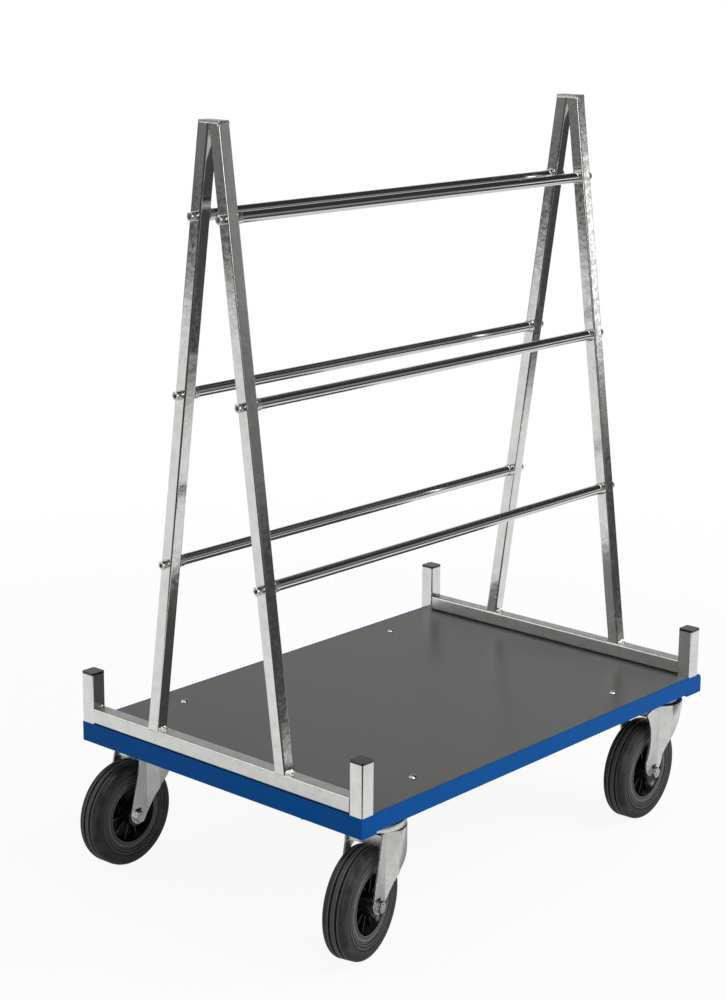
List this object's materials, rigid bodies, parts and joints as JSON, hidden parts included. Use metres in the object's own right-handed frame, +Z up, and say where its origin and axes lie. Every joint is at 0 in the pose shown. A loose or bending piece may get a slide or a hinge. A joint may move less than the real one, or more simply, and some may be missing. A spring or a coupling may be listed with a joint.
{
  "type": "drywall cart",
  "caption": "A-frame cart for drywall sheets: coated deck on a blue frame with swivel casters, zinc A-frames joined by rails, and corner posts that hold the sheets on the base tubes.",
  "frame": {"origin": "on the floor under the middle of the whole cart's outline, wheels included", "axes": "+Z up from the floor to the A-frames' tops; +X along the deck to the right end, where the A-frame stands inside the rolled edge; -Y is the front side, nearest in the picture"},
  "size_m": [1.0773, 0.7, 1.41],
  "materials": {
    "blue_powder_coat": "smooth blue powder coat",
    "zinc_plated_steel": "bright zinc plate",
    "bright_rail_tube": "bright zinc plated drawn tube",
    "coated_deck_board": "dark grey satin film on plywood",
    "black_cap_plastic": "moulded black",
    "plain_steel": "turned steel",
    "black_wheel_plastic": "moulded black",
    "black_tyre_rubber": "black rubber"
  },
  "bodies": {
    "chassis": {"deck_board": "coated_deck_board", "front_side_member": "blue_powder_coat", "rear_side_member": "blue_powder_coat", "left_end_member": "blue_powder_coat", "right_end_member": "blue_powder_coat", "left_cross_member": "blue_powder_coat", "right_cross_member": "blue_powder_coat", "deck_fasteners": "zinc_plated_steel", "base_spacers": "plain_steel", "base_fasteners": "zinc_plated_steel", "left_base_tube": "zinc_plated_steel", "right_base_tube": "zinc_plated_steel", "left_front_post": "zinc_plated_steel", "left_rear_post": "zinc_plated_steel", "right_front_post": "zinc_plated_steel", "right_rear_post": "zinc_plated_steel", "post_caps": "black_cap_plastic", "left_front_leg": "zinc_plated_steel", "left_rear_leg": "zinc_plated_steel", "right_front_leg": "zinc_plated_steel", "right_rear_leg": "zinc_plated_steel", "left_top_plate": "zinc_plated_steel", "right_top_plate": "zinc_plated_steel", "front_low_rail": "bright_rail_tube", "front_mid_rail": "bright_rail_tube", "front_top_rail": "bright_rail_tube", "rear_low_rail": "bright_rail_tube", "rear_mid_rail": "bright_rail_tube", "rear_top_rail": "bright_rail_tube", "rail_plugs": "plain_steel", "rail_bolts": "zinc_plated_steel", "caster_fasteners": "zinc_plated_steel", "front_left_caster_plate": "zinc_plated_steel", "front_left_kingpin": "plain_steel", "rear_left_caster_plate": "zinc_plated_steel", "rear_left_kingpin": "plain_steel", "front_right_caster_plate": "zinc_plated_steel", "front_right_kingpin": "plain_steel", "rear_right_caster_plate": "zinc_plated_steel", "rear_right_kingpin": "plain_steel"},
    "front_left_swivel": {"front_left_race": "plain_steel", "front_left_fork": "zinc_plated_steel", "front_left_axle": "zinc_plated_steel"},
    "front_left_rolling": {"front_left_wheel": "black_wheel_plastic", "front_left_tyre": "black_tyre_rubber"},
    "rear_left_swivel": {"rear_left_race": "plain_steel", "rear_left_fork": "zinc_plated_steel", "rear_left_axle": "zinc_plated_steel"},
    "rear_left_rolling": {"rear_left_wheel": "black_wheel_plastic", "rear_left_tyre": "black_tyre_rubber"},
    "front_right_swivel": {"front_right_race": "plain_steel", "front_right_fork": "zinc_plated_steel", "front_right_axle": "zinc_plated_steel"},
    "front_right_rolling": {"front_right_wheel": "black_wheel_plastic", "front_right_tyre": "black_tyre_rubber"},
    "rear_right_swivel": {"rear_right_race": "plain_steel", "rear_right_fork": "zinc_plated_steel", "rear_right_axle": "zinc_plated_steel"},
    "rear_right_rolling": {"rear_right_wheel": "black_wheel_plastic", "rear_right_tyre": "black_tyre_rubber"}
  },
  "joints": [
    {"name": "front_left_swivel_turn", "type": "hinge", "parent": "chassis", "child": "front_left_swivel", "pos_m": [-0.38632, -0.2925, 0.22], "axis": [0, 0, 1], "continuous": true},
    {"name": "front_left_wheel_roll", "type": "hinge", "parent": "front_left_swivel", "child": "front_left_rolling", "pos_m": [-0.43699, -0.3042, 0.1], "axis": [-0.225, 0.9744, 0], "continuous": true},
    {"name": "rear_left_swivel_turn", "type": "hinge", "parent": "chassis", "child": "rear_left_swivel", "pos_m": [-0.38632, 0.2925, 0.22], "axis": [0, 0, 1], "continuous": true},
    {"name": "rear_left_wheel_roll", "type": "hinge", "parent": "rear_left_swivel", "child": "rear_left_rolling", "pos_m": [-0.43829, 0.29069, 0.1], "axis": [-0.0349, 0.9994, 0], "continuous": true},
    {"name": "front_right_swivel_turn", "type": "hinge", "parent": "chassis", "child": "front_right_swivel", "pos_m": [0.46168, -0.2925, 0.22], "axis": [0, 0, 1], "continuous": true},
    {"name": "front_right_wheel_roll", "type": "hinge", "parent": "front_right_swivel", "child": "front_right_rolling", "pos_m": [0.40975, -0.29522, 0.1], "axis": [-0.0523, 0.9986, 0], "continuous": true},
    {"name": "rear_right_swivel_turn", "type": "hinge", "parent": "chassis", "child": "rear_right_swivel", "pos_m": [0.46168, 0.2925, 0.22], "axis": [0, 0, 1], "continuous": true},
    {"name": "rear_right_wheel_roll", "type": "hinge", "parent": "rear_right_swivel", "child": "rear_right_rolling", "pos_m": [0.41018, 0.28526, 0.1], "axis": [-0.1392, 0.9903, 0], "continuous": true}
  ]
}
